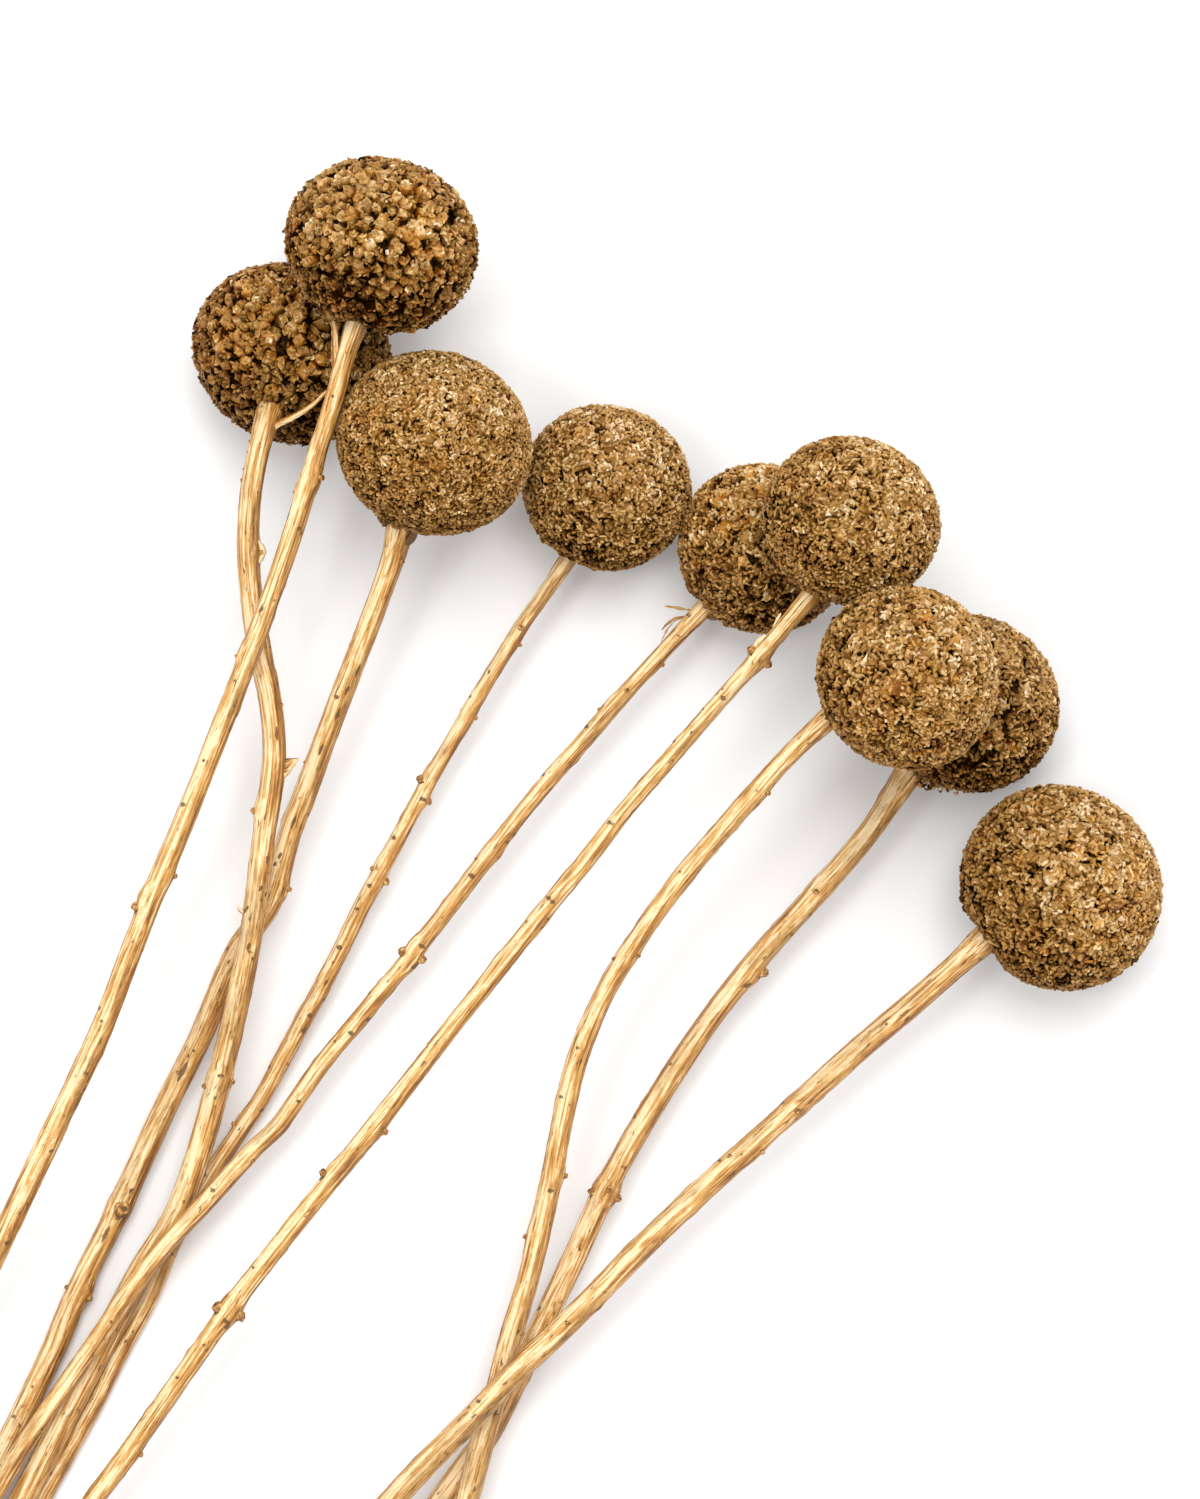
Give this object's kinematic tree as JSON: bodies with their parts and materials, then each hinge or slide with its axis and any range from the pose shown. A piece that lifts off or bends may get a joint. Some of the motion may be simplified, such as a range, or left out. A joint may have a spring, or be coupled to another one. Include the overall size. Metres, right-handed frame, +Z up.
{
  "type": "bunch of dried craspedia",
  "caption": "Loose bunch of dried craspedia lying down: round heads of packed florets on long stiff straw-coloured stems that cross one another",
  "frame": {"origin": "middle of the bunch's footprint, on the surface it lies on", "axes": "+Z up, +Y from the cut ends of the stems towards the heads, +X to the right as seen from above"},
  "size_m": [0.2731, 0.3471, 0.0573],
  "materials": {
    "dried_florets": "matte",
    "dried_stem": "satin"
  },
  "bodies": {
    "root": {"head_1": "dried_florets", "head_2": "dried_florets", "head_3": "dried_florets", "head_4": "dried_florets", "head_5": "dried_florets", "head_6": "dried_florets", "head_7": "dried_florets", "head_8": "dried_florets", "head_9": "dried_florets", "stem_1": "dried_stem", "stem_2": "dried_stem", "stem_3": "dried_stem", "stem_4": "dried_stem", "stem_5": "dried_stem", "stem_6": "dried_stem", "stem_7": "dried_stem", "stem_8": "dried_stem", "stem_9": "dried_stem"}
  },
  "joints": []
}
